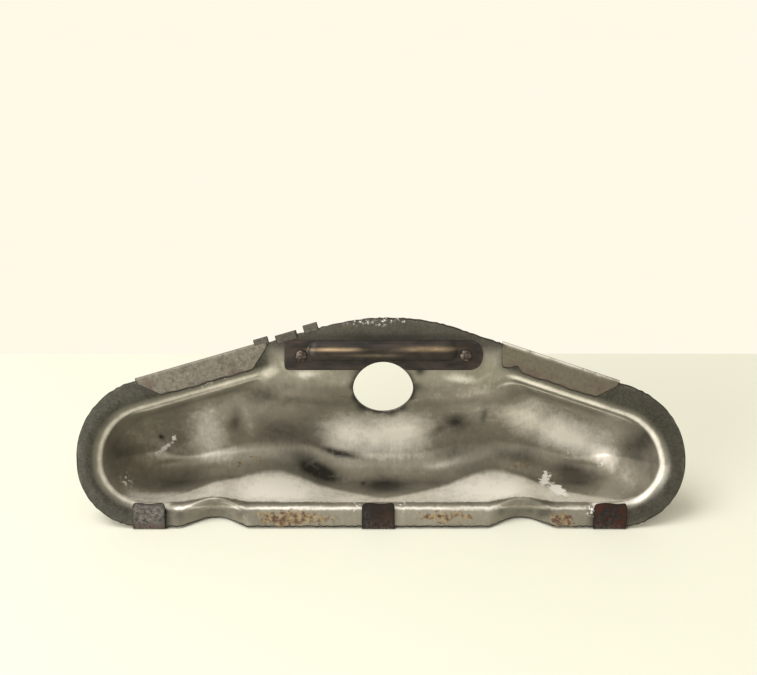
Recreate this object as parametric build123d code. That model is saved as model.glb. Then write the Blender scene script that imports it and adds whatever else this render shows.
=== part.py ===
from build123d import *
from math import atan2, cos, degrees, hypot, radians, sin, tan
import os

os.makedirs("parts", exist_ok=True)

# Pressed steel heat shield of an exhaust manifold, seen from its hollow side.
# Two drawn sheets nest in each other; tabs and flaps of the outer sheet are folded over the rim of
# the inner one and grip it. A beaded strap is riveted across the top, over the round sensor hole.
# The shield is laid out in its rim plane: X along its length, Y into the dish, Z up the rim.

# Rim outline
overall_width = 425.0
apex_x = 7.5
apex_height = 156.5
left_corner_height = 92.6
right_corner_height = 87.5
bottom_corner_radius = 45.0
end_straight = 1.54
apex_radius = 160.0

# Sheet metal
sheet = 0.8
layer_gap = 0.4
fold_radius = 8.0
inner_valley_radius = 16.0
outer_valley_radius = 8.0

# Flat flange round the dish
end_flange = 14.0
shoulder_flange = 19.0
lip_height = 15.6

# Dish: drafts are taken from the direction of drawing
lower_draft = 5.0
end_draft = 20.0
shoulder_draft = 25.0
dish_depth = 62.0
floor_drop = 21.3
floor_slope = 37.5
left_bowl_x = -80.0
right_bowl_x = 89.0
bowl_rise_inward = 0.10
bowl_rise_outward = 0.12

# Two lobes that rise out of the lower wall towards the back of the dish
left_lobe_x = -82.0
right_lobe_x = 86.0
lobe_start = 17.0
lobe_rise = 11.0
lobe_width = 96.0

# Raised platform for the strap, at the top of the dish
platform_x = 4.0
platform_width = 132.0
platform_drop = 50.5
platform_draft = 43.0
platform_side_draft = 52.0

# Round hole for the sensor
hole_diameter = 42.0
hole_x = 1.4
hole_drop = 59.5

# Rounded reliefs pressed back out of the lower lip, and the notch that trims their edge
relief_depth = 12.0
relief_width = 44.0
notch_height = 6.0
notch_width = 46.0
left_relief_x = -117.6
right_relief_x = 99.4

# Tabs folded up over the lower lip
tab_width = 23.0
tab_height = 18.0
left_tab_x = -163.0
middle_tab_x = -2.0
right_tab_x = 161.0

# Flaps folded down over the two shoulders
flap_reach = 16.0
left_flap_start = 2.0
left_flap_length = 90.0
right_flap_start = 8.0
right_flap_length = 86.0
flap_slant = 14.0

# Small locating lugs on the left shoulder
lug_width = 11.0
lug_reach = 4.5

# Strap and its rivets
strap_thickness = 1.5
strap_left = -66.5
strap_right = 70.0
strap_drop = 23.5
strap_width = 20.5
bead_height = 3.0
bead_width = 12.5
bead_left = -44.0
bead_right = 46.0
bead_drop = 31.0
rivet_shank = 4.0
rivet_head = 8.6
rivet_head_height = 2.4
left_rivet_x = -55.0
right_rivet_x = 58.0
rivet_drop = 34.0


def unit(angle):
    return cos(radians(angle)), sin(radians(angle))


def meeting_point(angle_a, reach_a, angle_b, reach_b):
    """Point of the rim plane that lies at the two reaches along the two directions."""
    ax, az = unit(angle_a)
    bx, bz = unit(angle_b)
    det = ax * bz - az * bx
    return (reach_a * bz - reach_b * az) / det, (ax * reach_b - bx * reach_a) / det


def plan_wall(angle, reach, draft):
    """Drafted wall whose mouth line lies at a reach along an outward direction of the rim plane."""
    px, pz = unit(angle)
    lean = radians(draft)
    normal = Vector(px * cos(lean), sin(lean), pz * cos(lean))
    return Vector(px * reach, 0, pz * reach), normal


half_width = overall_width / 2
room = overall_width * 1.65
relief_radius = ((relief_width / 2) ** 2 + relief_depth**2) / (2 * relief_depth)
platform_edge = apex_height - platform_drop
hole_height = apex_height - hole_drop
strap_top = apex_height - strap_drop
strap_bottom = strap_top - strap_width
bead_level = apex_height - bead_drop
rivet_level = apex_height - rivet_drop
left_angle = 90 + degrees(atan2(apex_height - left_corner_height, half_width + apex_x))
right_angle = 90 - degrees(atan2(apex_height - right_corner_height, half_width - apex_x))
upper_corner_setback = right_corner_height - bottom_corner_radius - end_straight
upper_corner_radius = upper_corner_setback / tan(radians(right_angle / 2))


def rim_outline():
    """Flat outline of the rim with its rounded corners."""
    corners = [
        (-half_width, 0),
        (-half_width, left_corner_height),
        (apex_x, apex_height),
        (half_width, right_corner_height),
        (half_width, 0),
    ]
    rounds = [
        bottom_corner_radius,
        upper_corner_radius,
        apex_radius,
        upper_corner_radius,
        bottom_corner_radius,
    ]
    edges = []
    starts = []
    ends = []
    for i, ((x, z), radius) in enumerate(zip(corners, rounds)):
        before = Vector(*corners[i - 1]) - Vector(x, z)
        after = Vector(*corners[(i + 1) % len(corners)]) - Vector(x, z)
        before = before.normalized()
        after = after.normalized()
        middle = (before + after).normalized()
        half_turn = radians(before.get_angle(after) / 2)
        setback = radius / tan(half_turn)
        starts.append(Vector(x, z) + before * setback)
        ends.append(Vector(x, z) + after * setback)
        crown = Vector(x, z) + middle * (radius / sin(half_turn) - radius)
        edges.append(ThreePointArc(starts[-1], crown, ends[-1]))
    for i in range(len(corners)):
        edges.append(Line(ends[i - 1], starts[i]))
    upright = Plane(origin=(0, 0, 0), x_dir=(1, 0, 0), z_dir=(0, -1, 0))
    return upright * make_face(edges)


def dish_walls():
    """Drafted walls round the dish: lip, ends, shoulders and the facets of the round corners."""
    left_x, left_z = unit(left_angle)
    right_x, right_z = unit(right_angle)
    end_reach = half_width - end_flange
    left_reach = -half_width * left_x + left_corner_height * left_z - shoulder_flange
    right_reach = half_width * right_x + right_corner_height * right_z - shoulder_flange
    sides = [
        (-90.0, -lip_height, lower_draft),
        (0.0, end_reach, end_draft),
        (180.0, end_reach, end_draft),
        (left_angle, left_reach, shoulder_draft),
        (right_angle, right_reach, shoulder_draft),
    ]
    low = bottom_corner_radius - end_flange
    high = upper_corner_radius - (end_flange + shoulder_flange) / 2
    corner_draft = (lower_draft + end_draft) / 2
    for angle, side in ((-45.0, 0.0), (225.0, 180.0)):
        cx, cz = meeting_point(side, end_reach - low, -90.0, -lip_height - low)
        px, pz = unit(angle)
        sides.append((angle, cx * px + cz * pz + low, corner_draft))
    for side, shoulder, reach in ((180.0, left_angle, left_reach), (0.0, right_angle, right_reach)):
        cx, cz = meeting_point(side, end_reach - high, shoulder, reach - high)
        angle = (side + shoulder) / 2
        px, pz = unit(angle)
        sides.append((angle, cx * px + cz * pz + high, end_draft))
    return [plan_wall(*side) for side in sides]


def carve(planes):
    """Convex block left behind all the given planes."""
    block = Pos(0, 0, room * 0.1) * Box(room, room * 0.37, room * 0.66)
    for point, normal in planes:
        block = split(block, bisect_by=Plane(origin=point, z_dir=normal), keep=Keep.BOTTOM)
    return block


def bowl(bowl_x, side, grow, valley_radius):
    """Half of the dish: its walls and a floor that rises from its deepest line to both sides."""
    rise = tan(radians(floor_slope))
    brow = Vector(bowl_x, 0, apex_height - floor_drop)
    inward = Vector(-side * bowl_rise_inward, 1, rise).normalized()
    outward = Vector(side * bowl_rise_outward, 1, rise).normalized()
    back = (Vector(0, dish_depth, 0), Vector(0, 1, 0))
    planes = dish_walls() + [(brow, inward), (brow, outward), back]
    core = carve([(point - normal * valley_radius, normal) for point, normal in planes])
    return offset(core, valley_radius + grow)


def platform(grow):
    """Wedge that stays out of the dish under the strap, so that the rim is flat and wide there."""
    lean = radians(platform_draft)
    side = radians(platform_side_draft)
    reach = platform_width / 2
    below = (Vector(platform_x, 0, platform_edge), Vector(0, -sin(lean), -cos(lean)))
    right = (Vector(platform_x + reach, 0, 0), Vector(cos(side), -sin(side), 0))
    left = (Vector(platform_x - reach, 0, 0), Vector(-cos(side), -sin(side), 0))
    return carve([(point - normal * grow, normal) for point, normal in (below, right, left)])


def lobe(lobe_x, grow):
    """Round-backed swelling that stays out of the dish, rising from the lower wall towards the back."""
    wall = tan(radians(lower_draft))
    climb = atan2(lobe_rise + (dish_depth - lobe_start) * wall, dish_depth - lobe_start)
    radius = ((lobe_width / 2) ** 2 + lobe_rise**2) / (2 * lobe_rise)
    foot = Vector(lobe_x, lobe_start, lip_height + lobe_start * wall)
    axis = Plane(origin=foot, x_dir=(1, 0, 0), z_dir=(0, cos(climb), sin(climb)))
    return axis * Pos(0, radius, 0) * Cylinder(radius - grow, dish_depth * 3)


def die(grow, valley_radius):
    """Everything in front of the drawn surface that lies behind the inner face by a distance."""
    left = bowl(left_bowl_x, -1, grow, valley_radius)
    right = bowl(right_bowl_x, 1, grow, valley_radius)
    hollow = left + right - platform(grow) - lobe(left_lobe_x, grow) - lobe(right_lobe_x, grow)
    for relief_x in (left_relief_x, right_relief_x):
        scoop = Cylinder(relief_radius + grow, lip_height * 4.5)
        hollow = hollow + Pos(relief_x, relief_depth - relief_radius, 0) * scoop
    front = Pos(0, grow - room * 0.13, room * 0.1) * Box(room * 0.92, room * 0.26, room * 0.57)
    solid = front + hollow
    mouth = [
        edge
        for edge in solid.edges().filter_by_position(Axis.Y, grow - 0.001, grow + 0.001)
        if abs(edge.center().X) < room * 0.4 and -room * 0.14 < edge.center().Z < room * 0.34
    ]
    return fillet(mouth, fold_radius - grow)


def drawn_sheet(front, valley_radius, rim):
    """Sheet between two parallel drawn surfaces, trimmed to the rim."""
    return (die(front + sheet, valley_radius) - die(front, valley_radius)) & rim


def folded_edge(length, reach, outer_slant, inner_slant):
    """Strip of sheet that runs on past an edge, folds round it and lies on the front of the rim."""
    bend = (sheet + layer_gap) / 2
    ring = Cylinder(bend + sheet, length) - Cylinder(bend, length)
    ring = Pos(0, bend, 0) * Rot(0, 90, 0) * ring
    ring = split(ring, bisect_by=Plane(origin=(0, 0, 0), z_dir=(0, 0, 1)), keep=Keep.BOTTOM)
    back = Pos(0, sheet * 1.5 + layer_gap, 2.5) * Box(length, sheet, 5)
    corners = [
        (-length / 2, 0),
        (length / 2, 0),
        (length / 2 - outer_slant, reach),
        (-length / 2 + inner_slant, reach),
    ]
    upright = Plane(origin=(0, 0, 0), x_dir=(1, 0, 0), z_dir=(0, -1, 0))
    leaf = extrude(upright * make_face(Polyline(*corners, close=True)), amount=sheet)
    return ring + back + leaf


def on_shoulder(shoulder_angle, x):
    """Frame on a shoulder edge at a station along X, with its Z axis pointing into the rim."""
    px, pz = unit(shoulder_angle)
    height = apex_height - (x - apex_x) * px / pz
    return Plane(origin=(x, 0, height), x_dir=(-pz, 0, px), z_dir=(-px, 0, -pz))


def shoulder_end(shoulder_angle):
    """Station along X where the straight part of a shoulder meets its round corner."""
    px, pz = unit(shoulder_angle)
    turn = 90 - abs(90 - shoulder_angle)
    return half_width - upper_corner_radius * tan(radians(turn / 2)) * pz


def strap_bead(width, height):
    """Round-ended rib that stands forward of the rim by a height."""
    upright = Plane(origin=((bead_left + bead_right) / 2, 0, bead_level), x_dir=(1, 0, 0), z_dir=(0, -1, 0))
    return extrude(upright * SlotOverall(bead_right - bead_left + width, width), amount=height)


def rivet(x):
    """Rivet with its head on the strap, its shank and the head closed behind the outer sheet."""
    behind = 2 * sheet + layer_gap
    head = Pos(0, 0, rivet_head_height / 2) * Cylinder(rivet_head / 2, rivet_head_height)
    shank_length = strap_thickness + behind
    shank = Pos(0, 0, -shank_length / 2) * Cylinder(rivet_shank / 2, shank_length)
    tail = Pos(0, 0, -shank_length - sheet / 2) * Cylinder(rivet_head * 0.4, sheet)
    seat = Plane(origin=(x, -strap_thickness, rivet_level), x_dir=(1, 0, 0), z_dir=(0, -1, 0))
    return seat * (head + shank + tail)


def bore(x, z, diameter):
    """Round tool through everything, along the direction of drawing."""
    return Pos(x, 0, z) * Rot(90, 0, 0) * Cylinder(diameter / 2, room)


rim = extrude(rim_outline(), amount=room * 0.4, both=True)
notch_radius = ((notch_width / 2) ** 2 + notch_height**2) / (2 * notch_height)
for relief_x in (left_relief_x, right_relief_x):
    rim = rim - bore(relief_x, notch_height - notch_radius, 2 * notch_radius)
hole = bore(hole_x, hole_height, hole_diameter)
rivet_holes = bore(left_rivet_x, rivet_level, rivet_shank + 0.2) + bore(right_rivet_x, rivet_level, rivet_shank + 0.2)

# Inner sheet: the drawn dish that is seen from the front
inner_sheet = drawn_sheet(0, inner_valley_radius, rim) - hole - rivet_holes

# Outer sheet: the same drawing one layer further back, with its tabs, flaps and lugs
outer_sheet = drawn_sheet(sheet + layer_gap, outer_valley_radius, rim)
for tab_x in (left_tab_x, middle_tab_x, right_tab_x):
    outer_sheet = outer_sheet + Pos(tab_x, 0, 0) * folded_edge(tab_width, tab_height, 1.0, 1.0)
left_flap_x = -shoulder_end(left_angle) + (left_flap_start + left_flap_length / 2) * sin(radians(left_angle))
left_flap = folded_edge(left_flap_length, flap_reach, flap_slant, flap_slant / 5)
outer_sheet = outer_sheet + on_shoulder(left_angle, left_flap_x) * left_flap
right_flap_x = shoulder_end(right_angle) - (right_flap_start + right_flap_length / 2) * sin(radians(right_angle))
right_flap = folded_edge(right_flap_length, flap_reach, flap_slant / 2, flap_slant)
outer_sheet = outer_sheet + on_shoulder(right_angle, right_flap_x) * right_flap
lug_level = sheet * 1.5 + layer_gap
lug = Pos(0, lug_level, 0) * Box(lug_width, sheet, 2 * lug_reach)
for lug_x in (left_rivet_x - 1.6 * lug_width * 2, left_rivet_x + lug_width / 3):
    outer_sheet = outer_sheet + on_shoulder(left_angle, lug_x) * lug
outer_sheet = outer_sheet - hole - rivet_holes

# Strap: beaded strip over the platform, notched by the hole
strap_face = make_face(
    Polyline(
        (strap_left, strap_bottom),
        (strap_right, strap_bottom),
        (strap_right, strap_top),
        (strap_left, strap_top),
        close=True,
    )
)
strap_face = fillet(strap_face.vertices().sort_by(Axis.X)[:2], 3.0)
strap_face = fillet(strap_face.vertices().sort_by(Axis.X)[-2:], (strap_top - strap_bottom) * 0.45)
upright = Plane(origin=(0, 0, 0), x_dir=(1, 0, 0), z_dir=(0, -1, 0))
strap = extrude(upright * strap_face, amount=strap_thickness)
bead = strap_bead(bead_width, strap_thickness + bead_height)
bead = chamfer(bead.faces().sort_by(Axis.Y)[0].edges(), bead_height * 0.9)
strap = strap + bead - strap_bead(bead_width - 2 * strap_thickness - bead_height * 0.7, bead_height)
strap = strap - hole - rivet_holes

pieces = {
    "inner_sheet": inner_sheet,
    "outer_sheet": outer_sheet,
    "stiffener_strap": strap,
    "left_rivet": rivet(left_rivet_x),
    "right_rivet": rivet(right_rivet_x),
}

# The shield stands on its three tabs in front and on the back of its dish behind: the lean at which
# both touch the table is found by halving.
corners, _ = outer_sheet.tessellate(0.1)
front_points = [v for v in corners if v.Y < fold_radius and v.Z < tab_height]
back_points = [v for v in corners if v.Y > dish_depth / 2]


def lowest(points, lean):
    return min(v.Z * cos(lean) - v.Y * sin(lean) for v in points)


least, most = radians(2), radians(60)
for _ in range(40):
    lean = (least + most) / 2
    if lowest(back_points, lean) > lowest(front_points, lean):
        least = lean
    else:
        most = lean

stand = Rot(-degrees(lean), 0, 0)
whole = Compound(children=[stand * piece for piece in pieces.values()]).bounding_box()
for node, piece in pieces.items():
    placed = Pos(-(whole.min.X + whole.max.X) / 2, -(whole.min.Y + whole.max.Y) / 2, -whole.min.Z) * stand * piece
    placed.label = node
    export_step(placed, "parts/" + node + ".step")
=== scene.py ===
import bpy
import numpy as np
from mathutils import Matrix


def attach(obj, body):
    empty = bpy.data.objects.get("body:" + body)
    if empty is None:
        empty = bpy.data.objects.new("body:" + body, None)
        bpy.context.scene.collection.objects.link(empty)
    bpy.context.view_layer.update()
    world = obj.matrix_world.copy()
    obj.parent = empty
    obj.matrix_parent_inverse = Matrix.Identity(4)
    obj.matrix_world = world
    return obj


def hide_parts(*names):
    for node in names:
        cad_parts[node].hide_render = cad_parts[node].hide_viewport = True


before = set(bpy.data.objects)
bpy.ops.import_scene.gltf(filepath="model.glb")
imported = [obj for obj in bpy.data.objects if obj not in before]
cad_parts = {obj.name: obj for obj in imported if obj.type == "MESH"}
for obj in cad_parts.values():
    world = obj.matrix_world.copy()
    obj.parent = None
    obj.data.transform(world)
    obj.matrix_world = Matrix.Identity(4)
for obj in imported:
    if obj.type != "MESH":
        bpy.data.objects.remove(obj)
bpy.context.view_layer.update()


# Inner sheet: the deep-drawn dish that faces the exhaust, pressed from one thin coated steel sheet.
# Its flat rim is gripped by the folds of the outer sheet. Heat has dulled it, and it is stained
# with soot, rust along the lower lip and a splash of white. Its pale and dark fields are partly painted
# highlight and shade, and painted highlights run along its folds with painted shade beside them.
half_length = 212.5
apex_u, apex_w = 7.5, 156.5
left_slope, right_slope = 0.29045, -0.33659
dish_depth = 62.0
fold_radius = 8.0
scoop_centres = (-117.6, 99.4)
platform_u = 4.0
hole_centre = np.array([1.4, 97.0])
hole_radius = 21.0
sheet_metres = 0.0008


def placed(u, y, w):
    """Rim coordinates in millimetres (u along the rim, y into the dish, w up the rim), turned back by the
    lean at which the shield stands and moved onto the table, in metres."""
    lean = np.radians(19.79)
    back = y * np.cos(lean) + w * np.sin(lean) - 37.997
    up = w * np.cos(lean) - y * np.sin(lean) + 1.604
    return np.stack([u, back, up], -1) / 1000


def ridge(value, middle, spread):
    """Soft band of a value round its middle: a bell curve of height one."""
    return np.exp(-(((value - middle) / spread) ** 2))


def fade(value, start, end):
    """Straight ramp from nought at the start to one at the end, held beyond both."""
    return np.clip((value - start) / (end - start), 0, 1)


def arc(reach, radius):
    """Height of a circle over a point at a reach from its centre, and nought beyond it."""
    return np.sqrt(np.maximum(radius**2 - reach**2, 0))


def soft_least(first, second, width):
    """The smaller of two values, with a parabola across the crossing."""
    return np.minimum(first, second) - np.maximum(width - np.abs(first - second), 0) ** 2 / (4 * width)


def rounded(first, second, turn, radius):
    """Inside distance of two planes whose normals differ by a turn in degrees, their corner rounded: beyond
    the inset edge it is the distance from that edge, elsewhere the distance from the nearer plane."""
    a, b = radius - first, radius - second
    cosine, sine = np.cos(np.radians(turn)), np.sin(np.radians(turn))
    corner = np.sqrt(np.maximum(a * a + b * b - 2 * a * b * cosine, 0)) / sine
    past_edge = (a > b * cosine) & (b > a * cosine) & (a + b > 0)
    return radius - np.where(past_edge, corner, np.maximum(a, b))


def drafted(u, y, w, turn, reach, draft):
    """Inside distance of a wall that leans by its draft from a line at a reach along a direction."""
    turn, draft = np.radians(turn), np.radians(draft)
    return np.cos(draft) * (reach - u * np.cos(turn) - w * np.sin(turn)) - np.sin(draft) * y


def lower_wall(u, y, w):
    """Height over the lower wall: a plane that leans by its draft, arched over the two scoops, and
    two lobes of round section that climb out of it towards the back."""
    lip_level, arch_rise, arch_spread = 15.6, 4.5, 15
    lip = lip_level + sum(arch_rise * ridge(u, centre, arch_spread) for centre in scoop_centres)
    height = 0.996 * (w - lip) - 0.087 * y
    lobe_centres, lobe_radius, blend = (-82, 86), 110.2, 4
    foot_y, foot_w = 17, 17.1
    over_axis = 0.949 * (w - foot_w) - 0.315 * (y - foot_y) + lobe_radius
    for centre in lobe_centres:
        height = soft_least(height, np.hypot(u - centre, over_axis) - lobe_radius, blend)
    return height


def bowl_floor(u, y, w):
    """Inside distance of the floor: two bowls side by side, each of two planes that meet in a soft keel
    and come forward as they climb, with a slow wave along the middle."""
    climb, brow, blend = 0.767, 135.2, 10
    wave_depth, wave_middle, wave_pitch = 1.8, 5, 19.4
    wave = wave_depth * np.cos((u - wave_middle) / wave_pitch) * ridge(w, 78, 26)
    level = -y - wave - climb * (w - brow)
    inner_tilt, outer_tilt = 0.10, 0.12
    bowls = []
    for centre, side in ((-80, -1), (89, 1)):
        inward = (side * inner_tilt * (u - centre) + level) / 1.264
        outward = (-side * outer_tilt * (u - centre) + level) / 1.266
        bowls.append(soft_least(inward, outward, blend))
    return -soft_least(-bowls[0], -bowls[1], blend)


def platform_wedge(u, y, w):
    """Distance outside the wedge that carries the strap: a slanted underside and two slanted ends."""
    underside_w, half_platform, blend = 106, 66, 12
    underside = -0.682 * y - 0.731 * (w - underside_w)
    ends = 0.616 * (np.abs(u - platform_u) - half_platform) - 0.788 * y
    return -soft_least(-underside, -ends, blend)


def dish_distance(u, y, w, valley):
    """Distance outside the drawn hollow: drafted walls with round corners over a floor whose valley is
    rounded; less the wedge of the strap platform, joined with two round scoops pressed back out of the lip."""
    end_reach, end_draft, shoulder_draft = 198.5, 20, 25
    lower = lower_wall(u, y, w)
    right_end = drafted(u, y, w, turn=0, reach=end_reach, draft=end_draft)
    left_end = drafted(u, y, w, turn=180, reach=end_reach, draft=end_draft)
    end = np.minimum(right_end, left_end)
    left_shoulder = drafted(u, y, w, turn=106.19, reach=129.21, draft=shoulder_draft)
    right_shoulder = drafted(u, y, w, turn=71.40, reach=131.71, draft=shoulder_draft)
    shoulder = soft_least(left_shoulder, right_shoulder, width=20)
    lower_corner = rounded(lower, end, turn=88, radius=31)
    upper_corner = rounded(end, shoulder, turn=68, radius=40.5)
    wall = np.minimum(lower_corner, upper_corner)
    base = rounded(bowl_floor(u, y, w), dish_depth - y, turn=52, radius=valley)
    facing = fade(shoulder - np.minimum(lower, end), -15, 15)
    hollow = -rounded(wall, base, turn=36 + 48 * facing, radius=valley)
    hollow = -soft_least(-hollow, platform_wedge(u, y, w), width=10)
    scoop_radius, scoop_drop, scoop_blend = 19.5, 8.0, 3
    for centre in scoop_centres:
        scoop = np.hypot(u - centre, 0.861 * y + 0.509 * w + scoop_drop) - scoop_radius
        hollow = soft_least(hollow, scoop, scoop_blend)
    return hollow


def drawn_depth(u, w, layer, valley):
    """Depth of the pressed surface: where the front space, a half space joined to the hollow with a
    rounded fold, ends at the given layer distance; found by halving for the whole array at once."""
    nearest, farthest, halvings = -4.0, 80.0, 30
    near, far = np.full(u.shape, nearest), np.full(u.shape, farthest)
    for _ in range(halvings):
        y = (near + far) / 2
        gap = dish_distance(u, y, w, valley)
        both = np.hypot(np.maximum(fold_radius - y, 0), np.maximum(fold_radius - gap, 0))
        open_side = np.maximum(fold_radius, np.minimum(y, gap)) - both < layer
        near, far = np.where(open_side, y, near), np.where(open_side, far, y)
    return (near + far) / 2


def rim_edges(u):
    """Lower and upper edge of the rim over its length: straight lip with round corners and two arched
    notches, straight shoulders with round corners and a round apex, worn back a little by a slow ripple."""
    lower_round, lower_straight = 45, 167.5
    low = lower_round - arc(np.maximum(np.abs(u) - lower_straight, 0), lower_round)
    notch_radius, notch_below = 84.26, 81.06
    for centre in scoop_centres:
        low = np.maximum(low, arc(u - centre, notch_radius) - notch_below)
    left = apex_w + (u - apex_u) * left_slope
    right = apex_w + (u - apex_u) * right_slope
    high = np.minimum(left, right)
    crown_left, crown_right, crown_u, crown_radius, crown_below = -38, 53, 5.3, 160, 11.13
    crown = arc(np.clip(u, crown_left, crown_right) - crown_u, crown_radius) - crown_below
    high = np.where((u > crown_left) & (u < crown_right), np.minimum(high, crown), high)
    upper_round, upper_straight = 57, 155.5
    left_round = 49.8 + arc(np.maximum(-upper_straight - u, 0), upper_round)
    right_round = 46.5 + arc(np.maximum(u - upper_straight, 0), upper_round)
    high = np.where(u < -171.4, np.minimum(high, left_round), high)
    high = np.where(u > 173.7, np.minimum(high, right_round), high)
    wear = 0.25 + 0.25 * np.sin(0.83 * u + 2 * np.sin(0.31 * u))
    return low + wear, high - wear


def near_edge(u, w, width):
    """One at the cut edge of the rim, dying away over a width inside it."""
    low, high = rim_edges(u)
    inside = np.minimum(np.minimum(w - low, high - w), half_length - np.abs(u))
    return np.exp(-inside / width)


def grid_faces(rows, columns):
    """Four-sided faces of a grid of points, as rows of point numbers."""
    index = np.arange(rows * columns).reshape(rows, columns)
    corners = [index[:-1, :-1], index[1:, :-1], index[1:, 1:], index[:-1, 1:]]
    return np.stack(corners, -1).reshape(-1, 4)


def new_piece(name, points, faces):
    """Object at the origin from points in metres and their faces, smoothly shaded."""
    mesh = bpy.data.meshes.new(name)
    mesh.from_pydata(points, [], faces)
    mesh.shade_smooth()
    piece = bpy.data.objects.new(name, mesh)
    bpy.context.collection.objects.link(piece)
    return piece


def pierced(u, w, v, quads):
    """Cuts the round hole out of a grid: faces inside it are left out, and a face that crosses it keeps the
    points outside and gets new ones where its edges meet the circle. Gives points and faces."""
    place = np.stack([u.ravel(), w.ravel(), v.ravel()], 1)
    away = np.hypot(*(place[:, :2] - hole_centre).T) - hole_radius
    outside = away > 0
    count = outside[quads].sum(1)
    faces = quads[count == 4].tolist()
    added, met = [], {}
    for quad in quads[(count > 0) & (count < 4)].tolist():
        loop = []
        for start, end in zip(quad, quad[1:] + quad[:1]):
            if outside[start]:
                loop.append(start)
            if outside[start] != outside[end]:
                key = (min(start, end), max(start, end))
                if key not in met:
                    met[key] = len(place) + len(added)
                    share = away[start] / (away[start] - away[end])
                    point = place[start] + share * (place[end] - place[start])
                    spoke = point[:2] - hole_centre
                    point[:2] = hole_centre + spoke * hole_radius / np.hypot(*spoke)
                    added.append(point)
                loop.append(met[key])
        faces.append(loop)
    return np.concatenate([place, added]), faces


def sheet_mesh(name, layer, valley, along, across):
    """Grid over the rim outline, evenly spaced over the bent surface both ways, and pierced by the hole.
    Gives the piece, its rim coordinates and v, the length along the bent sheet from its lower edge."""
    fine_along, fine_across, middle_w = 2401, 280, 45.0
    fine = np.linspace(-half_length, half_length, fine_along)
    low, high = rim_edges(fine)
    middle = drawn_depth(fine, np.full(fine.shape, middle_w), layer, valley)
    edge_steps = np.diff(low) ** 2 / 4 + np.diff(high) ** 2 / 4
    run = np.cumsum(np.sqrt(np.diff(fine) ** 2 + np.diff(middle) ** 2 + edge_steps))
    run = np.concatenate([[0], run])
    stations = np.interp(np.linspace(0, run[-1], along), run, fine)
    low, high = rim_edges(stations)
    u = np.repeat(stations[:, None], fine_across, 1)
    w = low[:, None] + (high - low)[:, None] * np.linspace(0, 1, fine_across)
    y = drawn_depth(u, w, layer, valley)
    run = np.cumsum(np.hypot(np.diff(w, axis=1), np.diff(y, axis=1)), axis=1)
    run = np.concatenate([np.zeros((along, 1)), run], 1)
    v = run[:, -1:] * np.linspace(0, 1, across)
    w = np.stack([np.interp(*column) for column in zip(v, run, w)])
    u = np.repeat(stations[:, None], across, 1)
    place, faces = pierced(u, w, v, grid_faces(along, across))
    used = np.unique(np.concatenate(faces).astype(int))
    order = np.zeros(len(place), int)
    order[used] = np.arange(used.size)
    u, w, v = place[used].T
    y = drawn_depth(u, w, layer, valley)
    piece = new_piece(name, placed(u, y, w), [order[face].tolist() for face in faces])
    return piece, u, y, w, v


def thicken(piece, metres):
    """Gives a sheet its thickness on the side away from its faces."""
    wall = piece.modifiers.new("thickness", "SOLIDIFY")
    wall.thickness = metres
    wall.offset = -1


def paint(piece, name, red, green=0.0, blue=0.0):
    """Stores up to three masks of the surface as one colour layer."""
    layer = piece.data.attributes.new(name, "FLOAT_COLOR", "POINT")
    values = np.stack(np.broadcast_arrays(red, green, blue, 1.0), -1).clip(0, 1)
    layer.data.foreach_set("color", values.astype(np.float32).ravel())


def finish_tree(name):
    """Starts a material and gives its node tree and shader."""
    material = bpy.data.materials.new(name)
    material.use_nodes = True
    return material, material.node_tree, material.node_tree.nodes["Principled BSDF"]


def noise(tree, size, detail=6.0, rough=0.6, stretch=(1, 1, 1)):
    """Noise over object coordinates with features of the given size in metres."""
    place = tree.nodes.new("ShaderNodeTexCoord")
    turn = tree.nodes.new("ShaderNodeMapping")
    turn.inputs["Scale"].default_value = stretch
    grain = tree.nodes.new("ShaderNodeTexNoise")
    grain.inputs["Scale"].default_value = 1 / size
    grain.inputs["Detail"].default_value = detail
    grain.inputs["Roughness"].default_value = rough
    tree.links.new(place.outputs["Object"], turn.inputs["Vector"])
    tree.links.new(turn.outputs["Vector"], grain.inputs["Vector"])
    return grain.outputs["Fac"]


def band(tree, value, start, end, low=0.0, high=1.0):
    """A value stretched from one range to another and held at its ends."""
    node = tree.nodes.new("ShaderNodeMapRange")
    tree.links.new(value, node.inputs["Value"])
    for key, number in zip(("From Min", "From Max", "To Min", "To Max"), (start, end, low, high)):
        node.inputs[key].default_value = number
    return node.outputs["Result"]


def combine(tree, operation, first, second):
    """Arithmetic on two values, either of which may be a plain number, held between nought and one."""
    node = tree.nodes.new("ShaderNodeMath")
    node.operation = operation
    node.use_clamp = True
    for socket, value in zip(node.inputs, (first, second)):
        if isinstance(value, (int, float)):
            socket.default_value = value
        else:
            tree.links.new(value, socket)
    return node.outputs["Value"]


def layered(tree, amount, under, over):
    """One colour laid over another by a mask; a colour may be a socket or three numbers."""
    node = tree.nodes.new("ShaderNodeMix")
    node.data_type = "RGBA"
    tree.links.new(amount, node.inputs[0])
    for socket, colour in ((node.inputs[6], under), (node.inputs[7], over)):
        if isinstance(colour, tuple):
            socket.default_value = (*colour, 1)
        else:
            tree.links.new(colour, socket)
    return node.outputs[2]


def speckled(tree, mask, grain):
    """Mark that breaks into specks towards its edge: grain over a level that falls as the mask rises."""
    level = combine(tree, "ADD", combine(tree, "MULTIPLY", mask, 0.4), grain)
    return combine(tree, "MULTIPLY", band(tree, level, 0.60, 0.68), band(tree, mask, 0.05, 0.2))


def masks(tree, name):
    """The three masks of a painted layer."""
    read = tree.nodes.new("ShaderNodeAttribute")
    read.attribute_name = name
    split = tree.nodes.new("ShaderNodeSeparateColor")
    tree.links.new(read.outputs["Color"], split.inputs["Color"])
    return split.outputs["Red"], split.outputs["Green"], split.outputs["Blue"]


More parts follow.
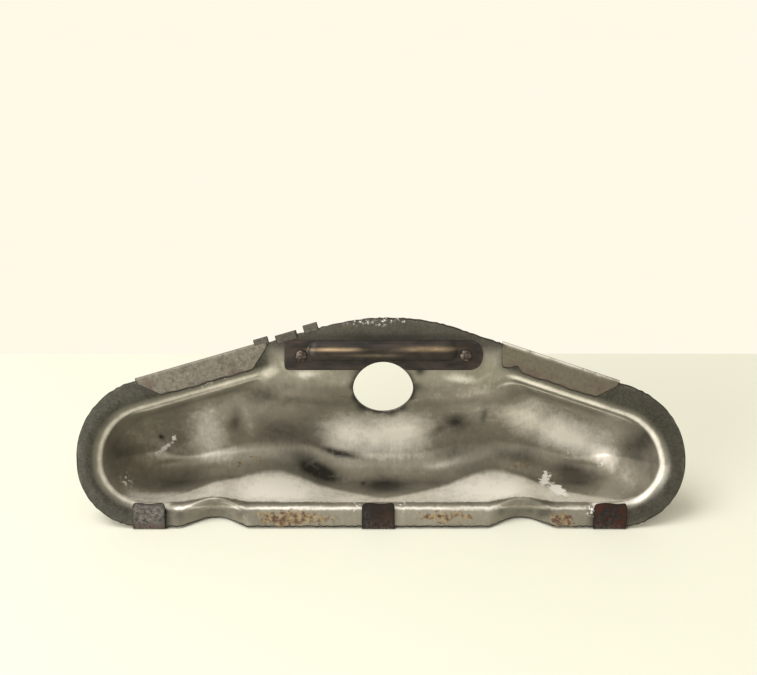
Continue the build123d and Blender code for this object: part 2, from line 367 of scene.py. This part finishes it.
def raised(tree, shader, height, depth, strength):
    """Fine relief from a height value; depth is in metres."""
    bump = tree.nodes.new("ShaderNodeBump")
    bump.inputs["Strength"].default_value = strength
    bump.inputs["Distance"].default_value = depth
    tree.links.new(height, bump.inputs["Height"])
    tree.links.new(bump.outputs["Normal"], shader.inputs["Normal"])


def spots(u, v, marks):
    """Largest of several soft oval marks, each given as its centre along and up the sheet, its half sizes,
    its turn in degrees and its strength."""
    total = np.zeros_like(u)
    for centre_u, centre_v, half_u, half_v, turn, strength in marks:
        cosine, sine = np.cos(np.radians(turn)), np.sin(np.radians(turn))
        along = (u - centre_u) * cosine + (v - centre_v) * sine
        across = (v - centre_v) * cosine - (u - centre_u) * sine
        total = np.maximum(total, strength * np.exp(-((along / half_u) ** 2 + (across / half_v) ** 2)))
    return total


inner_valley = 20.0
inner_sheet, u, y, w, v = sheet_mesh("inner_sheet_drawn", 0.0, inner_valley, 350, 130)
thicken(inner_sheet, sheet_metres)

# Pale fields, partly clean coating and partly painted highlight and reflection, and dark fields, partly
# dulled by heat and partly painted shade, laid out along the bent sheet.
clean_and_painted_highlight = spots(u, v, [
    (-129, 100, 14, 29, 0, 0.36), (-122, 79, 11, 8, 0, 0.25), (-97, 106, 5, 21, 0, 0.18),
    (-21, 104, 25, 22, 0, 0.55), (-5, 103, 22, 20, 0, 0.58), (11, 106, 27, 25, 0, 0.60),
    (109, 116, 27, 18, -41, 0.40), (138, 99, 36, 18, -35, 0.60), (164, 80, 29, 9, -52, 0.55),
    (181, 53, 6, 22, 0, 0.40), (-170, 85, 17, 32, -20, 0.14), (78, 140, 38, 19, -30, 0.14),
    (-52, 174, 11, 3, 20, 0.30), (55, 171, 14, 3.5, -24, 0.35), (-79, 168, 9, 5, 54, 0.40),
    (-160, 30, 22, 8, 12, 0.35), (150, 24, 20, 6, 0, 0.30)])
dulled_and_painted_shade = spots(u, v, [
    (-189, 57, 6, 42, 0, 0.24), (-107, 113, 4, 14, -8, 0.30), (-73, 100, 24, 19, 20, 0.26),
    (-155, 55, 32, 10, 30, 0.20), (-59, 77, 19, 6, 0, 0.25), (11, 76, 32, 8, 8, 0.15),
    (59, 82, 25, 7, 0, 0.28), (103, 77, 23, 7, 0, 0.30), (146, 68, 20, 13, -30, 0.48),
    (185, 68, 9, 31, 0, 0.40), (192, 36, 3.5, 11, 0, 0.20), (3, 50, 19, 16, 0, 0.35),
    (-79, 148, 27, 6, 34, 0.15), (-118, 8, 22, 9, 0, 0.24), (-142, 9, 5, 7, 0, 0.35),
    (-99, 10, 4, 8, -30, 0.35), (102, 8, 18, 8, 0, 0.26), (116, 10, 5, 8, -30, 0.45),
    (86, 9, 5, 6, 0, 0.25)])

# Painted highlights on the two lobes, along the fold of the lip and along the fold round the mouth,
# with painted shade in the lip's crease and under the fold of the mouth.
# Pale lobes: a painted highlight where the lower wall rounds up into the light.
lobe_highlight = np.zeros_like(u)
for centre, spread in ((-81, 68), (82, 64)):
    crown = 24 + 44 * ridge(u, centre, spread)
    middle = ridge(np.hypot((u - centre) / 2, v - 38), 0, 24)
    lobe_highlight = np.maximum(lobe_highlight, fade(v - crown, 5.25, -9.75) * (0.74 + 0.26 * middle))
lobe_highlight = lobe_highlight * fade(v, 17, 20)
over_scoop = sum(ridge(u, centre, 17) for centre in scoop_centres)
on_lip = fade(np.abs(u), 150, 144) * fade(v, 26, 22)
# A painted highlight along the fold of the lip, and a painted shade line in the crease above it.
lip_fold_highlight = on_lip * ridge(v, 13.5 - 2.5 * over_scoop, 2.0) * (1 - 0.35 * over_scoop)
lip_crease_shade = on_lip * ridge(v, 18.5 - 2.5 * over_scoop, 1.2)
mouth = fade(np.hypot(u - platform_u, 2.2 * (w - 120)), 75, 95) * (1 - on_lip)
right_shoulder = fade(u, 55, 70) * fade(w, 60, 75)
left_shoulder = fade(u, -50, -65) * fade(w, 70, 82)
# A painted highlight along the fold round the mouth and inside both shoulders.
mouth_fold_highlight = np.where(u < 0, 0.80, 0.92) * mouth * ridge(y, 4.8, 2.9)
mouth_fold_highlight = np.maximum(mouth_fold_highlight, 0.76 * right_shoulder * mouth * ridge(y, 12, 2.4))
mouth_fold_highlight = np.maximum(mouth_fold_highlight, 0.78 * left_shoulder * mouth * ridge(y, 9, 5.5))
# Painted shade in a band below the fold of the mouth.
under_fold_shade = mouth * ridge(y, 21, 5) * fade(w, 60, 80)

# Tone: pale fields and painted highlights raise it, dark fields and painted shade lower it.
plain_shade = 0.50
shade = plain_shade + 0.85 * clean_and_painted_highlight - dulled_and_painted_shade - 0.20 * under_fold_shade
shade = np.maximum(shade, np.maximum(lobe_highlight - dulled_and_painted_shade, mouth_fold_highlight))
shade = np.maximum(shade - 0.10 * lip_crease_shade, 0.85 * lip_fold_highlight)
# Flange painted dark: partly its own darker tone, partly painted shade for the dark front it reflects.
flange_and_shade = fade(y, 3.38, 0.78) * fade(np.abs(u - platform_u), 74, 84)
top_flange = np.minimum(fade(w, 122, 130), 0.9) * fade(y, 5, 0)
flange_and_shade = np.maximum(flange_and_shade, top_flange) * (1 - 0.8 * on_lip)
paint(inner_sheet, "tone_and_painted_light", shade, flange_and_shade, near_edge(u, w, 3.0))

# Soot round the hole, dark marks in the hollows and a dark band along the strap's upper edge; rust on
# the lip; splashed white and scratches.
soot_and_dark_marks = spots(u, v, [
    (-47, 67, 17, 8, -16, 1.6), (-32, 84, 16, 3, -10, 1.3), (-164, 96, 2, 3, 0, 1.2),
    (-13, 55, 2, 4, 0, 1.2), (3, 50, 12, 12, 0, 1.3), (55, 116, 9, 13, 20, 1.0),
    (75, 122, 2.6, 11, 0, 0.7), (27, 182, 4, 4, 0, 1.0), (44, 109, 10, 5, 40, 0.6)])
round_hole = np.arctan2(w - hole_centre[1], u - hole_centre[0])
hole_gap = np.hypot(u - hole_centre[0], w - hole_centre[1]) - hole_radius
ragged = 3.0 + 1.5 * np.sin(5 * round_hole + 1) + np.sin(13 * round_hole)
soot_and_dark_marks = np.maximum(soot_and_dark_marks, 0.9 * ridge(hole_gap, 0, ragged))
# A dark band along the upper edge of the strap.
soot_and_dark_marks = np.maximum(soot_and_dark_marks, spots(u, w, [(4, 135, 62, 3, 0, 0.9)]))
rust = spots(u, v, [
    (-65, 6, 30, 5, 0, 0.80), (47, 7, 21, 4.5, 0, 0.62), (128, 5, 8, 5.5, 0, 0.80),
    (101, 68, 12, 5, 9, 0.30), (-96, 71, 16, 6, 5, 0.32), (39, 86, 5.5, 2.4, 0, 0.4)])
chalk = spots(u, v, [
    (-163, 85, 11, 1.2, 55, 0.7), (-155, 97, 1.4, 5, 0, 0.7), (122, 58, 3, 10, -20, 0.9),
    (129, 43, 5, 12, 14, 0.9), (-17, 18, 4, 9, 0, 0.24), (15, 19, 4, 10, 0, 0.24),
    (148, 12, 4, 5, 0, 0.30), (141, 82, 2.5, 4, 0, 0.30), (166, 71, 4.5, 2, -34, 0.35),
    (-183, 36, 4.5, 9, 0, 0.22), (78, 120, 40, 30, 0, 0.07)])
chalk = np.maximum(chalk, spots(u, w, [(-3, 146, 26, 3, 2, 0.24), (-120, 103, 30, 4, 16, 0.12)]))
paint(inner_sheet, "marks", soot_and_dark_marks, rust, chalk)

# The darkest coat also serves for painted shade, the palest for painted highlight.
burnt_coat_and_shade = (0.040, 0.036, 0.027)
grey_coat = (0.285, 0.265, 0.215)
clean_coat_and_highlight = (0.95, 0.895, 0.80)
dark_flange_and_shade = (0.016, 0.0148, 0.0108)
grey_flange = (0.051, 0.0475, 0.036)
worn_edge = (0.13, 0.12, 0.095)
dark_edge_line = (0.016, 0.014, 0.011)
soot_black = (0.018, 0.016, 0.013)
red_rust = (0.085, 0.040, 0.024)
yellow_rust = (0.30, 0.235, 0.125)
splashed_white = (0.90, 0.87, 0.81)
material, tree, shader = finish_tree("heat_dulled_sheet_painted_light")
shade_at, flange_and_shade_at, edge_at = masks(tree, "tone_and_painted_light")
soot_and_dark_marks_at, rust_at, chalk_at = masks(tree, "marks")
mottle = noise(tree, 0.030, 8, 0.62)
blotch = noise(tree, 0.009, 6, 0.65)
grain = noise(tree, 0.0016, 4, 0.7)
brushed = noise(tree, 0.0022, 5, 0.7, (1, 0.35, 0.35))
metal_at = band(tree, shade_at, 0.5, 0.95, 0.55, 0.12)
shade_at = combine(tree, "SUBTRACT", shade_at, band(tree, mottle, 0.35, 0.65, 0.10, 0.0))
shade_at = combine(tree, "SUBTRACT", shade_at, band(tree, blotch, 0.35, 0.65, 0.10, 0.0))
shade_at = combine(tree, "SUBTRACT", shade_at, band(tree, brushed, 0.3, 0.7, 0.10, 0.0))
shade_at = combine(tree, "ADD", shade_at, 0.10)
# Dark end: burnt coat and painted shade; pale end: clean coat and painted highlight.
colour = layered(tree, band(tree, shade_at, 0.0, 0.5), burnt_coat_and_shade, grey_coat)
colour = layered(tree, band(tree, shade_at, 0.5, 0.92), colour, clean_coat_and_highlight)
flange_amount = combine(tree, "MULTIPLY", flange_and_shade_at, band(tree, blotch, 0.3, 0.7, 0.8, 1.0))
flange_colour = layered(tree, band(tree, grain, 0.40, 0.66), dark_flange_and_shade, grey_flange)
colour = layered(tree, flange_amount, colour, flange_colour)
edge_amount = combine(tree, "MULTIPLY", edge_at, band(tree, blotch, 0.48, 0.62))
colour = layered(tree, edge_amount, colour, worn_edge)
# A dark thin line at the very edge of the rim.
colour = layered(tree, band(tree, edge_at, 0.72, 0.86), colour, dark_edge_line)
soot_grain = band(tree, noise(tree, 0.0055, 5), 0.25, 0.50, 0.55, 1.0)
colour = layered(tree, combine(tree, "MULTIPLY", soot_and_dark_marks_at, soot_grain), colour, soot_black)
rust_amount = speckled(tree, rust_at, noise(tree, 0.005, 7, 0.7))
rust_colour = layered(tree, band(tree, noise(tree, 0.0035), 0.4, 0.6), red_rust, yellow_rust)
colour = layered(tree, rust_amount, colour, rust_colour)
chalk_amount = speckled(tree, chalk_at, noise(tree, 0.0028, 6, 0.7))
colour = layered(tree, chalk_amount, colour, splashed_white)
tree.links.new(colour, shader.inputs["Base Color"])
dull = combine(tree, "MAXIMUM", rust_amount, chalk_amount)
tree.links.new(combine(tree, "SUBTRACT", metal_at, dull), shader.inputs["Metallic"])
sheen = band(tree, mottle, 0.3, 0.7, 0.26, 0.40)
rough = combine(tree, "ADD", sheen, combine(tree, "MULTIPLY", dull, 0.4))
tree.links.new(rough, shader.inputs["Roughness"])
raised(tree, shader, grain, 0.00025, 0.35)
inner_sheet.data.materials.append(material)
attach(inner_sheet, "root")
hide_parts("inner_sheet")


# Outer sheet: the second drawn sheet, nested behind the first with a small air gap, and never seen
# in front except where its edge is folded over. Weathered on its back, with rust at the cut edges.
outer_layer, outer_valley = 1.2, 8.6
outer_sheet, u, y, w, _ = sheet_mesh("outer_sheet_drawn", outer_layer, outer_valley, 230, 90)
thicken(outer_sheet, sheet_metres)
paint(outer_sheet, "rim", near_edge(u, w, 4.0), fade(y, 0, 60), ridge(w, 25, 16))
weathered_grey = (0.19, 0.18, 0.16)
weathered_light = (0.32, 0.305, 0.275)
drawn_dark = (0.12, 0.112, 0.096)
dark_rim = (0.055, 0.051, 0.042)
edge_rust = (0.14, 0.06, 0.028)
material, tree, shader = finish_tree("weathered_back_sheet")
edge_at, depth_at, low_at = masks(tree, "rim")
mottle = noise(tree, 0.012, 8, 0.72, (1, 1, 0.45))
pits = noise(tree, 0.0022, 5, 0.7)
drawn = noise(tree, 0.0025, 6, 0.7, (1, 0.3, 0.3))
colour = layered(tree, band(tree, mottle, 0.32, 0.68), weathered_grey, weathered_light)
colour = layered(tree, band(tree, drawn, 0.45, 0.68, 0.0, 0.55), colour, drawn_dark)
colour = layered(tree, band(tree, depth_at, 0.0, 0.12, 0.75, 0.0), colour, dark_rim)
edge_share = combine(tree, "MULTIPLY", edge_at, 0.5)
low_share = combine(tree, "MULTIPLY", low_at, 0.32)
rusty = combine(tree, "MAXIMUM", edge_share, low_share)
rusty = speckled(tree, rusty, noise(tree, 0.005, 7, 0.7))
colour = layered(tree, rusty, colour, edge_rust)
tree.links.new(colour, shader.inputs["Base Color"])
tree.links.new(combine(tree, "SUBTRACT", 0.7, rusty), shader.inputs["Metallic"])
tree.links.new(band(tree, pits, 0.3, 0.7, 0.36, 0.58), shader.inputs["Roughness"])
raised(tree, shader, pits, 0.0003, 0.5)
outer_sheet.data.materials.append(material)
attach(outer_sheet, "root")
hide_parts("outer_sheet")


# Shoulder flaps: two long strips of the outer sheet, turned down over the shoulders of the rim.
# They were hammered flat by hand, so their edges wander, and their bare steel has weathered. A painted
# highlight runs along their fold crest, and a painted shadow line along their tips and ends.
leaf_points, turn_points, back_points = 22, 10, 6
past_leaf = turn_points + back_points
strip_points = leaf_points + past_leaf
leaf_reach = np.concatenate([np.linspace(1, 0, leaf_points), np.zeros(past_leaf)])


def fold_strip(start, end, inward, reach, bulge, out=0.0):
    """Folded strip along an edge: a profile of front leaf, half-round fold and back leaf is carried
    from start to end of the edge; the leaf's reach is given along it. Gives rim coordinates."""
    bend_radius, bend_depth, back_length = 1.4, 0.6, 6
    run = np.linspace(0, 1, len(reach))[:, None]
    leaf = np.linspace(1, 0, leaf_points)[None, :]
    turn = np.linspace(-np.pi / 2, np.pi / 2, turn_points + 2)[None, 1:-1]
    back = np.linspace(0, back_length, back_points)[None, :]
    past_edge = -bend_radius * np.cos(turn) + 0 * run
    tip = np.concatenate([reach[:, None] * leaf, past_edge, back + 0 * run], 1) - out
    front = bend_depth - bend_radius - bulge * np.sin(np.pi * leaf) ** 0.8 + 0 * run
    around = bend_depth + bend_radius * np.sin(turn) + 0 * run
    behind = bend_depth + bend_radius + 0 * back + 0 * run
    depth = np.concatenate([front, around, behind], 1)
    u = start[0] + (end[0] - start[0]) * run + inward[0] * tip
    w = start[1] + (end[1] - start[1]) * run + inward[1] * tip
    return u, depth, w


def strip_piece(name, strips):
    """One object from several grids of rim coordinates."""
    points, faces, count = [], [], 0
    for u, y, w in strips:
        points.append(placed(u, y, w).reshape(-1, 3))
        faces.append(grid_faces(*u.shape) + count)
        count += u.size
    return new_piece(name, np.concatenate(points), np.concatenate(faces))


def on_strips(along, across, count, merge=np.multiply):
    """Mask over several like strips: a profile along each strip and one across it, merged at every point."""
    return np.tile(merge.outer(along, across).ravel(), count)


def flap_reach(run, low_end, high_end, wander):
    """Reach of a flap: full over its length, cut back at a slant at both ends, with a wandering edge
    and one dent."""
    full = 15.6 + 0.3 * np.sin(run * 19 + wander) + 0.2 * np.sin(run * 47 + 2 * wander)
    full = full - 3.0 * wander * ridge(run, 0.17, 0.04) / 1.7
    low_slant, high_slant = 2 + run / low_end * 14, 2 + (1 - run) / high_end * 14
    return np.maximum(np.minimum(np.minimum(full, low_slant), high_slant), 1.0)


flap_rows, flap_bulge = 80, 0.2
run = np.linspace(0, 1, flap_rows)
left_inward, right_inward = (0.279, -0.960), (-0.319, -0.948)
left_reach, right_reach = flap_reach(run, 0.16, 0.16, 0.4), flap_reach(run, 0.06, 0.15, 1.7)
left_flap = fold_strip((-169.5, 105.1), (-78.5, 131.5), left_inward, left_reach, flap_bulge)
right_flap = fold_strip((83.5, 130.9), (164.5, 103.7), right_inward, right_reach, flap_bulge)
flaps = strip_piece("shoulder_flaps", [left_flap, right_flap])
thicken(flaps, sheet_metres)
all_along, all_across = np.ones(flap_rows), np.ones(strip_points)
# A painted highlight along the fold crest of each flap, strongest on the right one.
crest_point, crest_spread = 23, 2.2
crest_highlight = on_strips(all_along, ridge(np.arange(strip_points), crest_point, crest_spread), 2)
crest_highlight = crest_highlight * np.repeat([0.15, 1.0], flap_rows * strip_points)
# Both ends of each flap, where a painted shadow outline runs.
both_ends = on_strips(np.abs(np.linspace(-1, 1, flap_rows)) ** 60, all_across, 2)
paint(flaps, "line", crest_highlight, both_ends)
flap_tip = on_strips(all_along, leaf_reach**4, 2)
outer_ends = np.concatenate([on_strips((1 - run) ** 6, all_across, 1), on_strips(run**6, all_across, 1)])
right_side = np.repeat([0.0, 1.0], flap_rows * strip_points)
paint(flaps, "strip", flap_tip, outer_ends, right_side)
dark_grain = (0.080, 0.072, 0.056)
light_grain = (0.265, 0.242, 0.192)
green_grey = (0.125, 0.110, 0.068)
stained = (0.045, 0.040, 0.031)
flap_rust = (0.075, 0.028, 0.018)
flap_shadow_line = (0.020, 0.016, 0.012)
painted_crest_highlight = (0.75, 0.72, 0.64)
flap_material, tree, shader = finish_tree("grainy_weathered_steel")
tip_at, end_at, right_at = masks(tree, "strip")
crest_highlight_at, outline_shade_at, _ = masks(tree, "line")
grain = noise(tree, 0.0024, 8, 0.8)
patch = noise(tree, 0.012, 6, 0.6)
colour = layered(tree, band(tree, grain, 0.36, 0.66), dark_grain, light_grain)
colour = layered(tree, combine(tree, "MULTIPLY", right_at, 0.65), colour, green_grey)
colour = layered(tree, band(tree, patch, 0.55, 0.72, 0.0, 0.7), colour, stained)
tip_or_end = combine(tree, "MAXIMUM", tip_at, end_at)
rusty = combine(tree, "MULTIPLY", tip_or_end, band(tree, patch, 0.45, 0.56, 0.0, 0.9))
colour = layered(tree, rusty, colour, flap_rust)
# A painted shadow line along the tips and ends of the flaps and along the sides of the lugs.
shadow_line = combine(tree, "MAXIMUM", band(tree, tip_at, 0.66, 0.85), outline_shade_at)
colour = layered(tree, shadow_line, colour, flap_shadow_line)
# Painted highlight along the fold crest.
crest_highlight_amount = combine(tree, "MULTIPLY", crest_highlight_at, band(tree, patch, 0.35, 0.5))
colour = layered(tree, crest_highlight_amount, colour, painted_crest_highlight)
tree.links.new(colour, shader.inputs["Base Color"])
tree.links.new(combine(tree, "SUBTRACT", 0.55, rusty), shader.inputs["Metallic"])
tree.links.new(band(tree, grain, 0.3, 0.7, 0.5, 0.72), shader.inputs["Roughness"])
raised(tree, shader, grain, 0.0006, 0.8)
flaps.data.materials.append(flap_material)
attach(flaps, "root")
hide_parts("outer_sheet")


# Lip tabs: three short strips of the outer sheet, folded up over the lower lip to grip the inner sheet.
# Their bare steel has rusted, the left one least and the right one reddest, and painted shade darkens
# their borders.
def tab_reach(run, wander):
    """Reach of a tab: nearly straight, with its two corners rounded off."""
    corner = fade(np.minimum(run, 1 - run), 0.11, 0)
    return 17.6 + 0.4 * np.sin(run * 9 + wander) - 2.6 * (1 - np.sqrt(1 - corner**2))


tab_rows, half_tab, tab_bulge = 40, 11.5, 1.1
run = np.linspace(0, 1, tab_rows)
tabs = []
for centre, wander in ((-163.0, 0.3), (-2.0, 1.1), (161.0, 2.2)):
    right_foot, left_foot = (centre + half_tab, 0.0), (centre - half_tab, 0.0)
    tabs.append(fold_strip(right_foot, left_foot, (0, 1), tab_reach(run, wander), tab_bulge))
lip_tabs = strip_piece("lip_tabs", tabs)
thicken(lip_tabs, sheet_metres)
tab_points = tab_rows * strip_points
turned = np.concatenate([np.linspace(0, 1, leaf_points) ** 3, np.ones(past_leaf)])
tab_fold = on_strips(np.ones(tab_rows), turned, len(tabs))
tab_side = np.abs(np.linspace(-1, 1, tab_rows))
# Painted shade along the borders of each tab.
tab_border_shade = on_strips(tab_side, leaf_reach, len(tabs), np.maximum) ** 10
paint(lip_tabs, "strip", np.repeat([0.2, 1.0, 1.0], tab_points), tab_fold, tab_border_shade)
only_left, only_right = np.repeat([1.0, 0.0, 0.0], tab_points), np.repeat([0.0, 0.0, 1.0], tab_points)
paint(lip_tabs, "hue", only_right, only_left, tab_fold)
bare_dark = (0.050, 0.046, 0.040)
bare_light = (0.27, 0.25, 0.225)
black_scale = (0.011, 0.008, 0.007)
brown_scale = (0.034, 0.020, 0.015)
red_scale = (0.055, 0.017, 0.010)
worn_fold = (0.10, 0.085, 0.075)
red_edge = (0.085, 0.024, 0.018)
tab_outline_shade = (0.014, 0.011, 0.009)
material, tree, shader = finish_tree("rusted_tab_steel")
brown_at, fold_at, border_shade_at = masks(tree, "strip")
red_at, left_at, turn_at = masks(tree, "hue")
grain = noise(tree, 0.0026, 8, 0.75)
patch = noise(tree, 0.010, 6, 0.6)
bare = layered(tree, band(tree, grain, 0.40, 0.62), bare_dark, bare_light)
scale = layered(tree, band(tree, patch, 0.42, 0.62), black_scale, brown_scale)
red_amount = combine(tree, "MULTIPLY", red_at, band(tree, patch, 0.44, 0.62))
scale = layered(tree, red_amount, scale, red_scale)
scale_amount = combine(tree, "MULTIPLY", brown_at, band(tree, patch, 0.2, 0.5, 0.7, 1.0))
colour = layered(tree, scale_amount, bare, scale)
worn = combine(tree, "MULTIPLY", fold_at, band(tree, grain, 0.45, 0.6, 0.0, 0.7))
colour = layered(tree, worn, colour, worn_fold)
red_line = combine(tree, "MULTIPLY", left_at, band(tree, turn_at, 0.5, 0.75))
red_line = combine(tree, "MULTIPLY", red_line, band(tree, grain, 0.50, 0.58))
colour = layered(tree, red_line, colour, red_edge)
# Painted shade at the tab borders.
colour = layered(tree, combine(tree, "MULTIPLY", border_shade_at, 0.85), colour, tab_outline_shade)
tree.links.new(colour, shader.inputs["Base Color"])
shader.inputs["Specular IOR Level"].default_value = 0.15
tree.links.new(band(tree, brown_at, 0, 1, 0.35, 0.05), shader.inputs["Metallic"])
tree.links.new(band(tree, grain, 0.3, 0.7, 0.45, 0.75), shader.inputs["Roughness"])
raised(tree, shader, grain, 0.0007, 0.9)
lip_tabs.data.materials.append(material)
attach(lip_tabs, "root")
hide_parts("outer_sheet")


# Shoulder lugs: three short ends of the outer sheet that stand up past the left shoulder and are bent
# over its edge. They are of the same weathered steel as the flaps, darker over all, with a painted
# shadow line along their sides.
lug_rows = 14
run = np.linspace(0, 1, lug_rows)
along_shoulder = np.array([0.960, 0.279])
lugs = []
for centre, width, out in ((-82.0, 10.0, 2.8), (-65.0, 15.0, 1.4), (-48.0, 10.0, 2.8)):
    middle = np.array([centre, apex_w + (centre - apex_u) * left_slope])
    half = along_shoulder * width / 2
    lug_reach = 4.4 + 0.3 * np.sin(run * 11)
    lugs.append(fold_strip(middle - half, middle + half, left_inward, lug_reach, 0.0, out))
edge_lugs = strip_piece("shoulder_lugs", lugs)
thicken(edge_lugs, sheet_metres)
paint(edge_lugs, "strip", on_strips(np.ones(lug_rows), leaf_reach**4, len(lugs)))
# Lugs darker over all, with a painted shadow line along their sides.
lug_side_shadow = np.maximum(np.abs(np.linspace(-1, 1, lug_rows)) ** 10, 0.5)
paint(edge_lugs, "line", 0.0, on_strips(lug_side_shadow, np.ones(strip_points), len(lugs)))
edge_lugs.data.materials.append(flap_material)
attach(edge_lugs, "root")
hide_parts("outer_sheet")


# Strap: a strip of thicker steel pressed with one long bead, riveted over the platform and notched
# by the round hole. It ran hottest, so it is tinted dark brown, and a painted straw-coloured highlight
# runs along the crest of the bead.
strap_left, strap_right, strap_low, strap_high = -66.5, 70.0, 112.5, 133.0
strap_metres = 0.0014


def strap_grid():
    """Strip between its lower and upper edge over its length, whose front stands forward by the strap's
    thickness plus a long bead with a round section and round ends."""
    along, across = 150, 34
    square_round, end_round = 3.0, 9.2
    shares, stops = [0, 0.04, 0.9, 1], [strap_left, strap_left + square_round, 60, strap_right]
    u = np.interp(np.linspace(0, 1, along), shares, stops)[:, None] + np.zeros((1, across))
    past_right = np.maximum(u - strap_right + end_round, 0)
    past_left = np.maximum(strap_left + square_round - u, 0)
    low = strap_low + end_round - arc(past_right, end_round) + square_round - arc(past_left, square_round)
    high = strap_high - end_round + arc(past_right, end_round) - square_round + arc(past_left, square_round)
    notch_room = 0.2
    low = np.maximum(low, hole_centre[1] + arc(u - hole_centre[0], hole_radius + notch_room))
    w = low + (high - low) * np.linspace(0, 1, across)[None, :]
    bead_left, bead_right, bead_level, bead_half, bead_height = -44, 46, 125.3, 6.3, 3.0
    past_bead = np.maximum(np.maximum(bead_left - u, u - bead_right), 0)
    away = np.hypot(past_bead, w - bead_level) / bead_half
    bead = bead_height * arc(away, 1) ** 1.3
    front = -1.5
    return u, front - bead, w


strap = strip_piece("beaded_strap", [strap_grid()])
thicken(strap, strap_metres)
u, _, w = (part.ravel() for part in strap_grid())
# Painted highlight patches along the crest of the bead.
crest_highlight = spots(u, w, [
    (-31, 127.2, 15, 1.1, 0, 1.0), (33, 127.4, 15, 1.4, 0, 0.9), (-8, 123, 20, 1.0, 0, 0.2)])
paint(strap, "tint", crest_highlight, fade(np.abs(u - 1), 48, 56))
black_brown = (0.010, 0.0078, 0.0065)
dark_brown = (0.036, 0.027, 0.021)
straw_crest_highlight = (0.62, 0.46, 0.29)
pad_brown = (0.045, 0.032, 0.026)
material, tree, shader = finish_tree("heat_tinted_strap")
crest_highlight_at, pad_at, _ = masks(tree, "tint")
streak = noise(tree, 0.006, 6, 0.6, (0.35, 1, 1))
colour = layered(tree, band(tree, streak, 0.38, 0.64), black_brown, dark_brown)
# Painted straw highlight on the bead's crest.
crest_glint = combine(tree, "MULTIPLY", crest_highlight_at, band(tree, streak, 0.35, 0.6, 0.4, 0.95))
colour = layered(tree, crest_glint, colour, straw_crest_highlight)
pad_amount = combine(tree, "MULTIPLY", pad_at, band(tree, streak, 0.45, 0.6, 0.2, 0.9))
colour = layered(tree, pad_amount, colour, pad_brown)
tree.links.new(colour, shader.inputs["Base Color"])
tree.links.new(band(tree, crest_highlight_at, 0, 1, 0.5, 0.9), shader.inputs["Metallic"])
tree.links.new(band(tree, streak, 0.3, 0.7, 0.32, 0.55), shader.inputs["Roughness"])
raised(tree, shader, streak, 0.0003, 0.5)
strap.data.materials.append(material)
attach(strap, "root")
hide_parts("stiffener_strap")


# Rivets: two short steel rivets, domed in front of the strap and closed flat behind the outer sheet.
# They took the same heat as the strap, and their steel is lighter in patches.
def rivet_grid(centre):
    """Surface of revolution about the line of drawing: domed head, shank and flat closed head."""
    level, head_radius, head_height, head_seat = 122.5, 4.3, 2.35, -1.5
    shank_radius, around = 2.0, 36
    dome = np.linspace(0, np.pi / 2, 9)
    radius = np.concatenate([head_radius * np.sin(dome), [shank_radius, shank_radius, 3.4, 3.3, 2.4, 0.0]])
    depth = np.concatenate([head_seat - head_height * np.cos(dome), [head_seat, 2.0, 2.0, 2.5, 2.75, 2.79]])
    angle = np.linspace(0, 2 * np.pi, around + 1)[None, :]
    u = centre + radius[:, None] * np.cos(angle)
    w = level + radius[:, None] * np.sin(angle)
    return u, depth[:, None] + 0 * angle, w


tinted_steel = (0.028, 0.021, 0.017)
rubbed_steel = (0.13, 0.105, 0.085)
material, tree, shader = finish_tree("rubbed_rivet_steel")
wear = noise(tree, 0.0018, 5, 0.65)
colour = layered(tree, band(tree, wear, 0.42, 0.62), tinted_steel, rubbed_steel)
tree.links.new(colour, shader.inputs["Base Color"])
shader.inputs["Metallic"].default_value = 0.8
tree.links.new(band(tree, wear, 0.3, 0.7, 0.28, 0.5), shader.inputs["Roughness"])
raised(tree, shader, wear, 0.0003, 0.6)
for node, centre in (("left_rivet", -55.0), ("right_rivet", 58.0)):
    rivet = strip_piece(node + "_domed", [rivet_grid(centre)])
    rivet.data.materials.append(material)
    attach(rivet, "root")
    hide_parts(node)


# Table, light and camera: a pale table that ends a little behind the shield, a pale room beyond it,
# a soft lamp above, a large window low on the left and the view into the dish from a little above.
half_table, table_end = 3.0, 0.217
table_rows, table_columns = 13, 9
across_table = np.linspace(-half_table, half_table, table_rows)
into_room = np.linspace(-half_table, table_end, table_columns)
x, back = np.meshgrid(across_table, into_room, indexing="ij")
top = np.stack([x, back, np.zeros_like(x)], -1).reshape(-1, 3)
table = new_piece("table", top, grid_faces(table_rows, table_columns))
material, tree, shader = finish_tree("pale_table")
shader.inputs["Base Color"].default_value = (0.93, 0.925, 0.79, 1)
shader.inputs["Roughness"].default_value = 0.6
table.data.materials.append(material)

room_light, room_white = 0.5, 1.0
world = bpy.data.worlds.new("pale_room")
world.use_nodes = True
bpy.context.scene.world = world
tree = world.node_tree
room = tree.nodes["Background"]
room.inputs["Color"].default_value = (1.0, 0.945, 0.81, 1)
ray = tree.nodes.new("ShaderNodeLightPath")
straight = combine(tree, "MAXIMUM", ray.outputs["Is Camera Ray"], ray.outputs["Is Transmission Ray"])
straight = combine(tree, "MAXIMUM", straight, ray.outputs["Is Glossy Ray"])
tree.links.new(band(tree, straight, 0, 1, room_light, room_white), room.inputs["Strength"])

for name, size, watts, place, turn in (
    ("ceiling_lamp", 1.6, 50, (-1.2, -0.5, 2.7), (-10.5, -24, 0)),
    ("side_window", 2.0, 56, (-1.9, -1.7, 0.5), (80, 0, -48)),
):
    lamp = bpy.data.lights.new(name, "AREA")
    lamp.size = size
    lamp.energy = watts
    lamp_object = bpy.data.objects.new(name, lamp)
    bpy.context.collection.objects.link(lamp_object)
    lamp_object.location = place
    lamp_object.rotation_euler = np.radians(turn)

looking_down = 28.11
camera = bpy.data.objects.new("camera", bpy.data.cameras.new("camera"))
bpy.context.collection.objects.link(camera)
camera.data.lens = 50.9
camera.data.sensor_width = 36
camera.location = (-0.0018, -0.640, 0.4746)
camera.rotation_euler = (np.radians(90 - looking_down), 0, 0)
bpy.context.scene.camera = camera
bpy.context.scene.view_settings.view_transform = "Standard"
